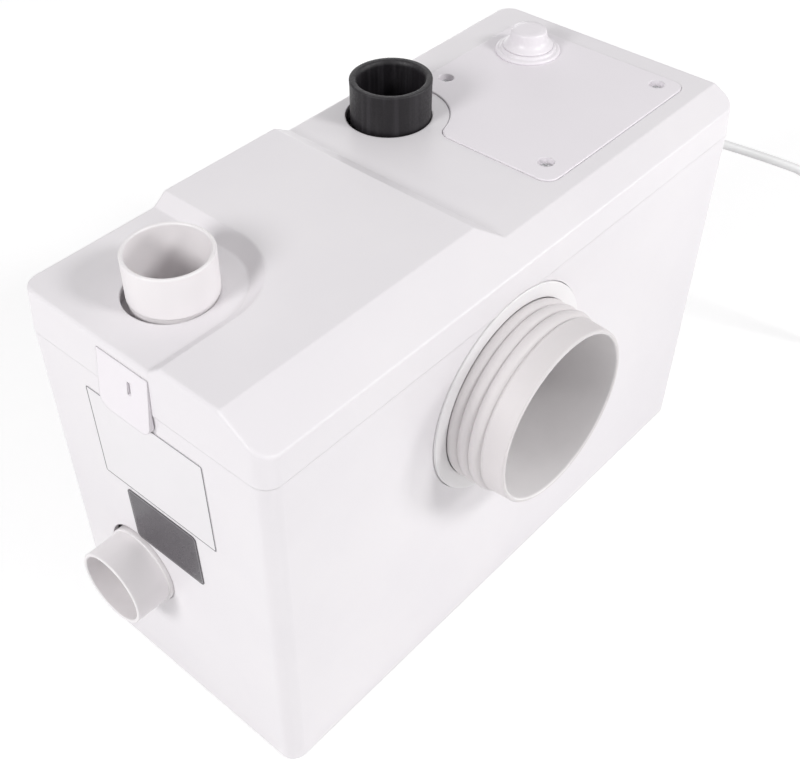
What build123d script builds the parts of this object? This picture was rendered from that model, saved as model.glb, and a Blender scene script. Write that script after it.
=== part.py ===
from build123d import *
from math import atan, cos, degrees, pi, radians, sin, sqrt, tan
import os

# Sanitary macerator pump: a tank with a lid, a pump and cutter inside, and its mains lead.
# Millimetres, +Z up. The origin is on the floor under the middle of the tank. The long side
# runs along X, the side with the large collar faces -Y, and the end inlet faces -X.

# Tank and lid
tank_length = 418.0
tank_width = 181.0
tank_height = 262.0
tank_draft = 2.6
tank_corner = 10.0
wall = 3.5
floor_thick = 4.0
pad_radius = 11.0
pad_depth = 1.5
pad_x = 182.0
pad_y = 68.0
rim_step_z = 246.0
rim_outer = 3.6
rim_inner = 6.0
skirt_z = 251.0
skirt_gap = 0.2
skirt_wall = 2.6
lid_skin = 3.0
lid_length = 424.0
lid_width = 186.8
lid_corner = 11.0
lid_taper = 1.6
lid_round = 2.0
main_z = 287.0
plateau_z = 280.0
front_break_y = -63.0
front_slope = 0.56
step_x = -10.0
step_run = 12.0
recess_x = -118.0
recess_y = -12.0
recess_corner = 41.5
recess_run = 9.0
latch_width = 40.0
latch_y = 8.0
latch_low = 236.5
latch_high = 274.0
hook_low = 242.5
hook_high = 249.4
hook_reach = 1.9

# Where the ports stand
collar_x = -19.5
collar_z = 185.5
collar_mouth_y = -132.0
top_inlet_x = -161.0
top_inlet_y = 25.0
top_inlet_z = 307.0
side_inlet_y = 28.0
side_inlet_z = 98.5
side_inlet_x = -236.0
outlet_x = 45.0
outlet_y = 56.0
outlet_z = 305.5
vent_x = 165.0
vent_y = 40.0
gland_y = -50.0
gland_z = 205.0

# Pipes and collars, as radii
inlet_radius = 25.0
inlet_bore = 22.7
top_foot = 24.2
top_inlet_hole = 26.3
top_hole_shift = (-1.2, 1.3)
side_foot = 26.2
side_inlet_hole = 27.4
side_hole_shift = (0.9, 0.4)
sleeve_radius = 25.5
sleeve_bore = 20.5
sleeve_socket = 21.6
sleeve_hole = 27.2
sleeve_hole_shift = (-1.0, 0.9)
collar_bore = 53.0
collar_outer = 55.8
rib_crest = 58.4
rib_count = 3
rib_pitch = 7.9
ring_outer = 67.8
ring_inner = 58.2
ring_flange = 70.2
flange_inset = 4.6
gland_hole = 8.2
fit_gap = 0.4
boss_bore = 30.0
boss_foot = 268.6

# Flaps, in a frame with the seat at zero, the flow along +Z and the hinge at +Y
flap_thick = 2.5
flap_gap = 0.3
hinge_height = 3.7
knuckle_radius = 2.8
pin_radius = 1.5
running_gap = 0.05
top_seat_z = 238.0
side_seat_x = -191.0
outlet_seat_z = 207.0
inlet_flap = dict(radius=25.5, reach=30.5, width=10.0)
outlet_flap = dict(radius=13.8, reach=16.0, width=8.0)

# Cover plate over the electrics
plate_x0 = 46.7
plate_x1 = 193.7
plate_y0 = -64.2
plate_y1 = 69.0
plate_corner = 9.0
plate_arc = 37.0
plate_thick = 1.7
gasket_thick = 0.6
plate_gap = 0.25
pocket_z = 278.6
seat_low_z = 273.0
well_z = 275.5
well_radius = 6.2
screw_boss_z = 268.0
plate_screws = [(63.6, -49.0), (182.7, -49.0), (101.0, 57.7), (182.7, 57.7)]
vent_seat = pocket_z + gasket_thick + plate_thick

# Electrics box under the cover plate
box_x0 = 62.0
box_x1 = 158.0
box_y0 = -54.0
box_y1 = 18.0
box_z0 = 238.0
box_lip = 4.0
box_wall = 2.0
box_floor = box_z0 + box_wall
switch_x = 136.0
switch_y = -32.0

# Pump, cutter and motor on one upright axis
pump_x = 70.0
pump_y = -14.0
shaft_radius = 5.0
shaft_tip = 4.0
pump_radius = 50.0
chamber_radius = 37.0
spout_z = 25.0
spout_length = 54.5
pump_screw_circle = 44.5
basket_radius = 54.0
basket_z0 = 38.0
basket_z1 = 100.0
slot_count = 26
window_angle = -145.0
flange_radius = 57.0
motor_radius = 50.0
motor_bore = 47.0
motor_z0 = 106.0
motor_z1 = 212.0

# Mains lead: the free stretch, the coil, and the tail that ends in the plug
cord_radius = 3.25
cord_route = [
    (236.0, -50.0, 205.0),
    (254.0, -50.0, 205.0),
    (271.0, -57.0, 199.5),
    (286.0, -72.0, 191.5),
    (301.0, -92.0, 183.5),
    (316.0, -113.0, 174.5),
    (328.0, -130.0, 149.0),
    (337.0, -144.0, 109.0),
    (346.0, -156.0, 71.0),
    (355.0, -170.0, 37.0),
    (362.0, -187.0, 13.5),
    (366.0, -206.0, 3.25),
    (366.0, -225.0, 3.25),
]
inner_route = [
    (200.9, -50.0, 205.0),
    (182.0, -50.0, 205.0),
    (177.0, -22.0, 226.0),
    (176.0, 4.0, 249.0),
    (150.0, 6.0, 250.0),
    (117.0, 6.0, 250.0),
]
coil_turns = 4.25
coil_outer = 45.0
coil_pitch = 7.1
coil_layer = 7.1
tail_ramp = 46.0
tail_rise = 12.0
plug_tilt = 16.5
plug_entry_z = 4.4
plug_length = 54.0


# Simple forms

def tube(outer, inner, low, high):
    """Upright tube on the Z axis."""
    return Pos(0, 0, low) * extrude(Circle(outer) - Circle(inner), high - low)


def disc(radius, low, high):
    """Upright solid disc on the Z axis."""
    return Pos(0, 0, low) * extrude(Circle(radius), high - low)


def block(x0, x1, y0, y1, z0, z1):
    """Box between two opposite corners."""
    return Pos((x0 + x1) / 2, (y0 + y1) / 2, (z0 + z1) / 2) * Box(x1 - x0, y1 - y0, z1 - z0)


def turned(points):
    """Solid turned about the Z axis from (radius, height) points."""
    return revolve(Plane.XZ * make_face(Polyline(points, close=True)), Axis.Z)


def rounded_loft(low, high):
    """Block between two rounded rectangles, each (length, width, corner, height)."""
    sections = [Pos(0, 0, z) * RectangleRounded(length, width, corner) for length, width, corner, z in (low, high)]
    return loft(sections)


def polar(radius, count, start=0.0):
    """Points evenly spaced on a circle."""
    turns = [radians(start + 360.0 * i / count) for i in range(count)]
    return [(radius * cos(a), radius * sin(a)) for a in turns]


def grown(face, amount):
    return offset(face, amount=amount, kind=Kind.INTERSECTION) if amount else face


def tank_half_width(z):
    return tank_width / 2 + tank_draft * z / tank_height


def tank_half_length(z):
    return tank_length / 2 + tank_draft * z / tank_height


collar_frame = Plane(origin=(collar_x, 0, collar_z), x_dir=(1, 0, 0), z_dir=(0, -1, 0))
collar_face = tank_half_width(collar_z)


# Tank

def ring_hole():
    """Room for the collar's ring: through the front wall, and a notch in the skirt's lower edge."""
    return collar_frame * disc(ring_outer + fit_gap, collar_face - 10.0, collar_face + 10.0)


def tank_section(inset, z):
    """The tank's tapered outline at a height, smaller all round by inset."""
    return 2 * (tank_half_length(z) - inset), 2 * (tank_half_width(z) - inset), tank_corner - inset / 2, z


def make_tank():
    """Tank with a set-back rim, so that the lid's skirt stands flush with its walls."""
    outer = rounded_loft(tank_section(0.0, 0.0), tank_section(0.0, skirt_z - skirt_gap))
    outer = fillet(outer.faces().sort_by(Axis.Z)[0].edges(), 2.5)
    outer += rounded_loft(tank_section(rim_outer, rim_step_z), tank_section(rim_outer, tank_height))
    shell = outer - rounded_loft(tank_section(wall, floor_thick), tank_section(wall, rim_step_z))
    shell -= rounded_loft(tank_section(rim_inner, rim_step_z - 1.0), tank_section(rim_inner, tank_height + 1.0))
    shell -= ring_hole()
    shell -= collar_frame * disc(ring_flange + fit_gap, collar_face - 12.0, collar_face - flange_inset + fit_gap)
    for end in (-1, 1):
        shell -= latch_pocket(end)
    hole_y = side_inlet_y + side_hole_shift[0]
    hole_z = side_inlet_z + side_hole_shift[1]
    shell -= Pos(-tank_length / 2, hole_y, hole_z) * Rot(0, 90, 0) * Cylinder(side_inlet_hole, 20)
    shell -= Pos(tank_length / 2, gland_y, gland_z) * Rot(0, 90, 0) * Cylinder(gland_hole, 20)
    for x, y in pad_places():
        shell -= Pos(x, y, 0) * Cylinder(pad_radius, 2 * pad_depth)
    return shell


def latch_pocket(end):
    """Shallow pocket in an end wall that a latch's hook drops into."""
    half = latch_width / 2 - 2.0
    face = tank_half_length(hook_high)
    pocket = block(face - hook_reach, face + 5.0, -half, half, hook_low - fit_gap, hook_high + fit_gap)
    return Pos(0, latch_y, 0) * Rot(0, 0, 0 if end > 0 else 180) * pocket


def pad_places():
    return [(side * pad_x, end * pad_y) for side in (-1, 1) for end in (-1, 1)]


def make_pads():
    """Rubber pads, flush in shallow pockets under the tank."""
    return [Pos(x, y, 0) * disc(pad_radius - 0.2, 0.0, pad_depth) for x, y in pad_places()]


# Lid

def lid_form(skin, side):
    """The lid's stepped form. With a skin and a side wall it is the hollow inside the lid."""
    low = (lid_length - 2 * side, lid_width - 2 * side, lid_corner - side, skirt_z - 2 * skin)
    high = (low[0] - 2 * lid_taper, low[1] - 2 * lid_taper, low[2], main_z - skin)
    return rounded_loft(low, high) - front_wedge(skin) - plateau_cut(skin) - recess_cut(skin)


def front_wedge(skin):
    """What the sloping front takes off the block."""
    run = 70.0
    above = main_z + 30.0
    profile = Polyline(
        [(front_break_y, main_z), (front_break_y - run, main_z - run * front_slope),
         (front_break_y - run, above), (front_break_y + 0.1, above)], close=True)
    face = grown(make_face(Plane.YZ * profile), skin)
    return Pos(-lid_length, 0, 0) * extrude(face, 2 * lid_length, dir=(1, 0, 0))


def plateau_cut(skin):
    """What the lower far level and its short ramp take off the block."""
    above = main_z + 30.0
    profile = Polyline(
        [(step_x, plateau_z), (step_x - step_run, main_z), (step_x - step_run, above),
         (lid_length, above), (lid_length, plateau_z)], close=True)
    face = grown(make_face(Plane.XZ * profile), skin)
    return Pos(0, lid_width, 0) * extrude(face, 2 * lid_width, dir=(0, -1, 0))


def recess_cut(skin):
    """The low corner around the top inlet: open to the near end and the back, with sloping walls."""
    def plan(grow, z):
        x0, x1 = -260.0, recess_x + grow
        y0, y1 = recess_y - grow, 130.0
        sheet = Pos((x0 + x1) / 2, (y0 + y1) / 2) * Rectangle(x1 - x0, y1 - y0)
        inner_corner = sheet.vertices().sort_by(Axis.X)[-2:].sort_by(Axis.Y)[0]
        return Pos(0, 0, z) * fillet(inner_corner, recess_corner + grow)

    wide = skin + recess_run
    slope = loft([plan(skin, plateau_z - skin), plan(wide, main_z - skin + 0.01)])
    return slope + extrude(plan(wide, main_z - skin), 30.0)


def plate_outline(grow):
    """Outline of the cover plate: a rounded rectangle with a bay around the outlet."""
    length = plate_x1 - plate_x0 + 2 * grow
    width = plate_y1 - plate_y0 + 2 * grow
    sheet = Pos((plate_x0 + plate_x1) / 2, (plate_y0 + plate_y1) / 2) * Rectangle(length, width)
    sheet -= Pos(outlet_x, outlet_y) * Circle(plate_arc - grow)
    return fillet(sheet.vertices(), plate_corner)


def make_lid():
    outer = lid_form(0.0, 0.0)
    upper_edges = outer.edges().filter_by(lambda e: e.center().Z > skirt_z + 4.0)
    lid = fillet(upper_edges, lid_round) - lid_form(lid_skin, skirt_wall) - ring_hole()
    lid += Pos(0, 0, seat_low_z) * extrude(plate_outline(2.0), pocket_z - seat_low_z)
    lid += Pos(top_inlet_x, top_inlet_y, 0) * tube(boss_bore + 2.6, boss_bore, boss_foot, plateau_z - 1.0)
    lid -= Pos(0, 0, pocket_z) * extrude(plate_outline(plate_gap), 20.0)
    opening = block(box_x0, box_x1, box_y0, box_y1, seat_low_z - 10.0, main_z)
    for x, y in plate_screws:
        opening -= Pos(x, y, seat_low_z) * Cylinder(8.5, 30)
    lid -= opening
    lid -= Pos(vent_x, vent_y, pocket_z) * Cylinder(15.0, 40)
    for (x, y), (shift_x, shift_y), radius in (
            ((top_inlet_x, top_inlet_y), top_hole_shift, top_inlet_hole),
            ((outlet_x, outlet_y), sleeve_hole_shift, sleeve_hole)):
        lid -= Pos(x + shift_x, y + shift_y, 0) * disc(radius, plateau_z - 15.0, plateau_z + 15.0)
    for x, y in plate_screws:
        lid += Pos(x, y, 0) * disc(3.2, screw_boss_z, seat_low_z + 1.0)
        lid -= Pos(x, y, 0) * disc(well_radius + 0.3, well_z - 0.3, main_z)
        lid -= Pos(x, y, 0) * disc(1.6, screw_boss_z - 1.0, main_z)
    return lid


def make_lid_gasket():
    """Rubber band on the tank's rim, under the lid."""
    def layer(inset, low, high):
        length, width, corner, _ = tank_section(inset, tank_height)
        return rounded_loft((length, width, corner, low), (length, width, corner, high))

    top = tank_height + 3.0
    return layer(rim_outer, tank_height, top) - layer(rim_inner, tank_height - 1.0, top + 1.0)


def make_latch(end):
    """Snap latch in the middle of an end: a wedge outside the skirt, hooked into the tank's wall."""
    half = latch_width / 2
    back, front = 0.15, 3.4
    back_high = back - lid_taper * (latch_high - skirt_z) / (main_z - skirt_z)
    side = Polyline(
        [(back, latch_low), (front, latch_low), (front, latch_low + 4.0), (back_high + 0.4, latch_high),
         (back_high, latch_high), (back, skirt_z)], close=True)
    tongue = Pos(-half, 0, 0) * extrude(make_face(Plane.YZ * side), latch_width, dir=(1, 0, 0))
    corners = tongue.edges().filter_by(Axis.Y).group_by(Axis.Z)[0]
    tongue = fillet(corners, 8.0)
    hook = block(2.5 - half, half - 2.5, -hook_reach, back, hook_low, hook_high)
    slit = block(-6.4, -4.0, -2.0, 9.0, 257.0, 265.0)
    return Pos(end * lid_length / 2, latch_y, 0) * Rot(0, 0, -90 * end) * (tongue + hook - slit)


# Cover plate and air vent

def make_cover_gasket():
    band = plate_outline(-0.5) - plate_outline(-4.5)
    ring = Pos(0, 0, pocket_z) * extrude(band, gasket_thick)
    for x, y in plate_screws:
        ring -= Pos(x, y, pocket_z) * Cylinder(well_radius + 0.5, 5)
    return ring - Pos(vent_x, vent_y, pocket_z) * Cylinder(17.0, 5)


def make_cover_plate():
    """Thin plate with a well and a hole for each of its screws."""
    low = pocket_z + gasket_thick
    high = low + plate_thick
    plate = Pos(0, 0, low) * extrude(plate_outline(0.0), plate_thick)
    plate = fillet(plate.faces().sort_by(Axis.Z)[-1].edges(), 0.6)
    pit = turned([(0, well_z + 1.2), (4.7, well_z + 1.2), (5.1, high + 0.1), (0, high + 0.1)])
    for x, y in plate_screws:
        plate += Pos(x, y, 0) * disc(well_radius, well_z, low + 0.5)
        plate -= Pos(x, y, 0) * (pit + disc(2.0, well_z - 1.0, high))
    return plate - Pos(vent_x, vent_y, low) * Cylinder(13.2, 10)


def make_cover_screws():
    """Pan-head screws standing on the floors of the wells."""
    head = turned([(0, 0.02), (3.4, 0.02), (3.4, 0.8), (2.4, 1.7), (0, 1.7)])
    cross = block(-2.2, 2.2, -0.4, 0.4, 1.1, 2.6) + block(-0.4, 0.4, -2.2, 2.2, 1.1, 2.6)
    floor = well_z + 1.2
    screw = head - cross + disc(1.5, screw_boss_z + 0.5 - floor, 0.2)
    return [Pos(x, y, floor) * screw for x, y in plate_screws]


def make_vent_base():
    """Flanged spigot of the air vent, standing on the cover plate."""
    spigot = turned([
        (9.0, -12.0), (13.0, -12.0), (13.0, 0.0), (21.4, 0.0), (21.4, 1.2), (20.7, 2.0), (18.4, 2.2),
        (18.0, 3.4), (17.2, 3.8), (11.4, 3.8), (11.4, 7.0), (9.0, 7.0)])
    return Pos(vent_x, vent_y, vent_seat) * spigot


def make_vent_cap():
    """Round cap over the spigot, hollow and flared to its rim."""
    cap = turned([
        (11.6, 3.9), (16.6, 3.9), (16.3, 4.8), (13.6, 7.0), (12.6, 8.6), (11.5, 14.8), (10.9, 15.4),
        (0, 15.4), (0, 13.8), (9.8, 13.8), (10.6, 8.6), (11.6, 7.2)])
    return Pos(vent_x, vent_y, vent_seat) * cap


def make_carbon_filter():
    return Pos(vent_x, vent_y, vent_seat) * disc(9.4, 7.2, 13.6)


# Electrics

def make_electrics_box():
    """Open tray under the lid that keeps the electrics dry."""
    x0, x1, y0, y1 = box_x0 - box_lip, box_x1 + box_lip, box_y0 - box_lip, box_y1 + box_lip
    outer = block(x0, x1, y0, y1, box_z0, seat_low_z)
    outer = fillet(outer.edges().filter_by(Axis.Z), 5.0)
    inner = block(x0 + box_wall, x1 - box_wall, y0 + box_wall, y1 - box_wall, box_floor, seat_low_z + 1)
    inner = fillet(inner.edges().filter_by(Axis.Z), 3.0)
    lead_hole = Pos(x1, 5.3, 249.6) * Rot(0, 90, 0) * Cylinder(cord_radius + 1.2, 12)
    return outer - inner - lead_hole - Pos(switch_x, switch_y, box_z0) * Cylinder(4.7, 10)


def make_capacitor():
    can = Pos(80.0, -18.0, 256.4) * Rot(90, 0, 0) * Cylinder(16.0, 58)
    for x in (75.0, 85.0):
        can += block(x - 1.0, x + 1.0, 11.0, 17.0, 252.0, 261.0)
    return can


def make_terminal_block():
    body = block(98.5, 114.5, -24.0, 12.0, box_floor, 254.0)
    for y in (-17.0, -6.0, 5.0):
        body -= Pos(106.5, y, 254.0) * Cylinder(2.6, 8)
        body -= Pos(106.5, y, 245.0) * Rot(0, 90, 0) * Cylinder(1.8, 30)
    return body


def make_switch_housing():
    """Round pressure switch: a spigot below, an air chamber, and two posts for the microswitch."""
    low = box_floor
    body = disc(20.0, low, low + 14.0) - disc(17.0, low + 3.0, low + 11.0)
    body += disc(4.4, low - 14.0, low)
    body -= disc(2.4, low - 15.0, low + 4.0) + disc(3.2, low + 10.0, low + 15.0)
    for x in (-9.0, 9.0):
        body += block(x - 2.0, x + 2.0, -3.0, 3.0, low + 14.0, low + 20.0)
    return Pos(switch_x, switch_y, 0) * body


def make_switch_diaphragm():
    """Diaphragm plate and the pin that it pushes up."""
    plate = disc(16.4, box_floor + 5.5, box_floor + 6.8) + disc(2.6, box_floor + 6.8, box_floor + 17.4)
    return Pos(switch_x, switch_y, 0) * plate


def make_micro_switch():
    low = box_floor + 20.0
    body = block(-12.0, 12.0, -4.0, 4.0, low, low + 9.0)
    for x in (-8.6, 0.0, 8.6):
        body += block(x - 0.4, x + 0.4, -2.5, 2.5, low + 9.0, low + 14.0)
    return Pos(switch_x, switch_y, 0) * body


def make_pressure_tube():
    """Air tube from the sump to the pressure switch, with a bell at its foot."""
    bell = turned([(9.5, 20.0), (11.0, 20.0), (11.0, 50.0), (6.0, 58.0), (4.5, 58.0), (9.5, 49.5)])
    return Pos(switch_x, switch_y, 0) * (bell + tube(6.0, 4.5, 57.9, box_z0))


def make_thermal_cutout():
    return Pos(pump_x, pump_y, 0) * block(30.0, 41.0, -7.0, 7.0, 202.6, 208.0)


# Large collar

def make_collar_ring():
    """Flanged ring in the tank's front that holds the collar."""
    ring = tube(ring_outer, ring_inner, collar_face - 12.5, collar_face + 1.6)
    ring = chamfer(ring.edges().filter_by(GeomType.CIRCLE).sort_by(Axis.Z)[-2:], 0.5)
    high = collar_face - flange_inset
    return collar_frame * (ring + tube(ring_flange, ring_outer - 1.0, high - 3.0, high))


def make_inlet_collar():
    """Soft collar: plain mouth, round ribs, a lip behind the ring, and a skirt inside the tank."""
    mouth = -collar_mouth_y
    valley = collar_outer - 0.3
    lip = ring_inner + 3.0
    tail = collar_face - 13.0
    inner_end = collar_face - 30.0
    ribs_end = collar_face + rib_count * rib_pitch - 0.2
    outline = [
        Line((collar_bore, mouth), (collar_outer - 0.4, mouth)),
        Line((collar_outer - 0.4, mouth), (collar_outer, mouth - 1.2)),
        Line((collar_outer, mouth - 1.2), (collar_outer + 0.8, ribs_end + 1.4)),
        Line((collar_outer + 0.8, ribs_end + 1.4), (valley, ribs_end)),
    ]
    for i in range(rib_count):
        high = ribs_end - i * rib_pitch
        outline.append(ThreePointArc((valley, high), (rib_crest, high - rib_pitch / 2), (valley, high - rib_pitch)))
    outline += [
        Line((valley, ribs_end - rib_count * rib_pitch), (valley, tail)),
        Line((valley, tail), (lip, tail)),
        Line((lip, tail), (lip, tail - 3.5)),
        Line((lip, tail - 3.5), (valley, tail - 3.5)),
        Line((valley, tail - 3.5), (valley, inner_end)),
        Line((valley, inner_end), (collar_bore, inner_end)),
        Line((collar_bore, inner_end), (collar_bore, mouth)),
    ]
    return collar_frame * revolve(Plane.XZ * make_face(outline), Axis.Z)


def make_waste_chute():
    """Sloping trough on legs, from under the collar to the window of the basket."""
    def trough(profile, y0, y1):
        return Pos(0, y1, 0) * extrude(make_face(Plane.XZ * Polyline(profile, close=True)), y1 - y0)

    y0, y1, thick = -83.0, -12.0, 2.5
    outer = trough([(-80.0, 118.0), (-80.0, 106.0), (40.0, 46.0), (40.0, 96.0)], y0, y1)
    inner = trough([(-77.5, 140.0), (-77.5, 108.5), (60.0, 39.0), (60.0, 140.0)], y0 + thick, y1 - thick)
    chute = outer - inner - Pos(pump_x, pump_y, 0) * disc(flange_radius + 1.5, 0.0, 150.0)
    for x, top in ((-60.0, 97.0), (-5.0, 69.5)):
        for y in (-70.0, -25.0):
            chute += Pos(x, y, 0) * disc(4.0, floor_thick, top)
    return chute


# Flaps and the pipes that they close

top_flap_frame = Plane(origin=(top_inlet_x, top_inlet_y, top_seat_z), x_dir=(0, -1, 0), z_dir=(0, 0, -1))
side_flap_frame = Plane(origin=(side_seat_x, side_inlet_y, side_inlet_z), x_dir=(0, 1, 0), z_dir=(1, 0, 0))
outlet_flap_frame = Plane(origin=(outlet_x, outlet_y, outlet_seat_z), x_dir=(1, 0, 0), z_dir=(0, 0, 1))


def cross_rod(radius, length, y, z):
    return Pos(0, y, z) * Rot(0, 90, 0) * Cylinder(radius, length)


def hinge_ears(flap):
    """Two ears that hold a flap's pin."""
    reach = flap["reach"]
    inner = flap["width"] / 2 + 0.4
    ears = block(inner, inner + 2.6, reach - 2.6, reach + 2.6, 0.0, hinge_height + 2.6)
    ears += mirror(ears, Plane.YZ)
    return ears - cross_rod(pin_radius, 40.0, reach, hinge_height)


def make_flap(flap):
    """Round flap on its knuckle."""
    reach, width = flap["reach"], flap["width"]
    top = flap_gap + flap_thick
    body = disc(flap["radius"], flap_gap, top) + block(-width / 2, width / 2, 0.0, reach, flap_gap, top)
    body += cross_rod(knuckle_radius, width, reach, hinge_height)
    return body - cross_rod(pin_radius + running_gap, width + 2.0, reach, hinge_height)


def make_pin(flap):
    return cross_rod(pin_radius, flap["width"] + 6.4, flap["reach"], hinge_height)


def inlet_lug():
    """Shelf beside an inlet pipe's end that carries its flap's ears."""
    half = inlet_flap["width"] / 2 + 3.0
    return block(-half, half, inlet_bore + 1.0, inlet_flap["reach"] + 3.0, -5.0, 0.0)


def make_top_inlet():
    """Upright inlet pipe with a narrower foot, a flange under the lid's boss and a hinge at its end."""
    step = plateau_z + 1.5
    pipe = tube(inlet_radius, inlet_bore, step, top_inlet_z)
    pipe = chamfer(pipe.edges().filter_by(GeomType.CIRCLE).sort_by(Axis.Z)[-2:], 0.6)
    pipe += tube(top_foot, inlet_bore, top_seat_z, step)
    pipe += tube(boss_bore + 6.0, inlet_bore + 0.5, boss_foot - 3.0, boss_foot)
    return Pos(top_inlet_x, top_inlet_y, 0) * pipe + top_flap_frame * (inlet_lug() + hinge_ears(inlet_flap))


def make_side_inlet():
    """Level inlet pipe with a wider foot in the near end, a flange inside and a hinge at its end."""
    step = -tank_half_length(side_inlet_z) - 2.5 - side_seat_x
    flange = wall - tank_half_length(side_inlet_z) + 2.6 - side_seat_x
    pipe = tube(inlet_radius, inlet_bore, side_inlet_x - side_seat_x, 0.0)
    pipe = chamfer(pipe.edges().filter_by(GeomType.CIRCLE).sort_by(Axis.Z)[:2], 0.6)
    pipe += tube(side_foot, inlet_radius - 1.0, step, flange + 1.0)
    pipe += tube(35.0, inlet_radius - 1.0, flange, flange + 3.0)
    return side_flap_frame * (pipe + inlet_lug() + hinge_ears(inlet_flap))


def make_side_gasket():
    inside = wall - tank_half_length(side_inlet_z)
    return Pos(inside + 0.5, side_inlet_y, side_inlet_z) * Rot(0, 90, 0) * tube(35.0, side_foot + 0.2, 0.0, 2.0)


# Outlet

def make_outlet_sleeve():
    """Rubber sleeve over the valve's neck, standing up through the lid."""
    low, stop = 244.6, 262.4
    body = turned([
        (sleeve_socket, low), (sleeve_radius, low), (sleeve_radius, outlet_z - 0.6),
        (sleeve_radius - 0.6, outlet_z), (sleeve_bore + 2.2, outlet_z), (sleeve_bore, outlet_z - 1.8),
        (sleeve_bore, stop), (sleeve_socket, stop)])
    return Pos(outlet_x, outlet_y, 0) * body


def make_valve_body():
    """Outlet valve: socket, seat, wide chamber and neck."""
    body = turned([
        (14.1, 190.0), (16.6, 190.0), (16.6, 201.0), (23.0, 206.0), (23.0, 240.5), (21.3, 244.0), (21.3, 262.0),
        (17.8, 262.0), (17.8, 243.5), (20.0, 239.5), (20.0, outlet_seat_z), (12.4, outlet_seat_z),
        (12.4, 203.0), (14.1, 203.0)])
    ears = hinge_ears(outlet_flap) & disc(20.5, -1.0, 20.0)
    return Pos(outlet_x, outlet_y, 0) * body + outlet_flap_frame * ears


def make_outlet_pipe():
    """Elbow and riser from the pump's spout up to the valve."""
    bend = 15.0
    start = pump_y + pump_radius
    bend_low = (outlet_x, outlet_y - bend, spout_z)
    bend_high = (outlet_x, outlet_y, spout_z + bend)
    path = Line((outlet_x, start, spout_z), bend_low) + TangentArc(bend_low, bend_high, tangent=(0, 1, 0))
    path += Line(bend_high, (outlet_x, outlet_y, 202.0))
    ring = Plane(origin=(outlet_x, start, spout_z), z_dir=(0, 1, 0)) * (Circle(13.6) - Circle(11.1))
    return sweep(ring, path=path)


# Pump, cutter and motor, each about its own upright axis at the origin

def make_pump_mounts():
    return [Pos(x, y, 0) * disc(6.0, floor_thick, 6.0) for x, y in polar(41.0, 3, 35)]


def make_suction_cover():
    """Bottom of the pump: a disc with a round mouth, on three feet."""
    cover = tube(pump_radius, 16.0, 11.0, 14.0) + tube(19.0, 16.0, 8.0, 11.0)
    for x, y in polar(41.0, 3, 35):
        cover += Pos(x, y, 0) * disc(4.0, 6.0, 11.0)
    for x, y in polar(pump_screw_circle, 4, 80):
        cover -= Pos(x, y, 12.0) * Cylinder(2.2, 10)
    return cover


def make_pump_screws():
    screw = disc(3.6, 8.0, 10.95) + disc(2.0, 10.95, 26.0)
    return [Pos(x, y, 0) * screw for x, y in polar(pump_screw_circle, 4, 80)]


def make_volute():
    """Round pump casing with a spout on a tangent."""
    spout_frame = Pos(outlet_x - pump_x, 0, spout_z) * Rot(-90, 0, 0)
    casing = disc(pump_radius, 14.0, basket_z0) + spout_frame * disc(10.7, 0.0, spout_length)
    casing -= disc(chamber_radius, 13.0, 34.6)
    casing -= disc(7.0, 33.0, basket_z0 + 1.0)
    casing -= spout_frame * disc(8.2, 0.0, spout_length + 1.0)
    for x, y in polar(pump_screw_circle, 4, 80):
        casing -= Pos(x, y, 20.0) * Cylinder(2.1, 14)
    return casing


def make_impeller():
    """Open impeller: a disc with leaning vanes under it."""
    wheel = disc(33.0, 28.5, 31.5) + disc(9.0, 17.0, 31.5)
    vane = Pos(20.0, 5.0, 0) * Rot(0, 0, 28) * block(-11.0, 11.0, -1.4, 1.4, 19.0, 29.0)
    for i in range(6):
        wheel += Rot(0, 0, 60 * i) * (vane & disc(32.8, 18.0, 30.0))
    return wheel - disc(shaft_radius, 10.0, 40.0)


def make_shaft():
    return disc(shaft_radius, 16.0, 203.5) + disc(shaft_tip, 203.5, 212.5)


def make_basket():
    """Slotted drum round the cutter, with a window towards the large collar."""
    drum = tube(basket_radius, basket_radius - 2.5, basket_z0, basket_z1)
    drum += tube(flange_radius, basket_radius - 2.0, 97.0, basket_z1)
    drum += tube(basket_radius - 1.0, 8.0, basket_z0, basket_z0 + 2.5)
    for i in range(slot_count):
        turn = window_angle + 360.0 * (i + 0.5) / slot_count
        drum -= Rot(0, 0, turn) * block(40.0, 60.0, -2.2, 2.2, 46.0, 92.0)
    return drum - Rot(0, 0, window_angle) * block(30.0, 60.0, -26.0, 26.0, 48.0, 94.0)


def make_cutter():
    """Hub with two crossed knives and an upright tooth at each end of the longer one."""
    knife = Box(92.0, 13.0, 3.0)
    knife = chamfer(knife.edges().filter_by(Axis.X).group_by(Axis.Z)[-1], 1.4)
    cutter = disc(10.0, 46.0, 64.0) + Pos(0, 0, 52.0) * knife
    cutter += Pos(0, 0, 60.0) * Rot(0, 0, 90) * Box(84.0, 13.0, 3.0)
    for x in (-43.0, 43.0):
        cutter += block(x - 1.5, x + 1.5, -4.0, 4.0, 52.0, 64.0)
    return cutter - disc(shaft_radius, 40.0, 70.0)


def make_motor_bracket():
    """Lower end shield: carries the motor on the basket, and holds the seal and a bearing."""
    body = disc(flange_radius, basket_z1, motor_z0) + disc(20.0, 87.0, basket_z1) + disc(20.0, motor_z0, 117.0)
    return body - disc(12.0, 86.0, 97.0) - disc(7.0, 96.0, 108.0) - disc(13.0, 107.0, 118.0)


def make_motor_can():
    can = tube(motor_radius, motor_bore, motor_z0, motor_z1)
    for i in range(12):
        can += Rot(0, 0, 30 * i + 15) * block(motor_radius - 0.5, 51.2, -1.0, 1.0, 112.0, 200.0)
    return can


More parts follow.
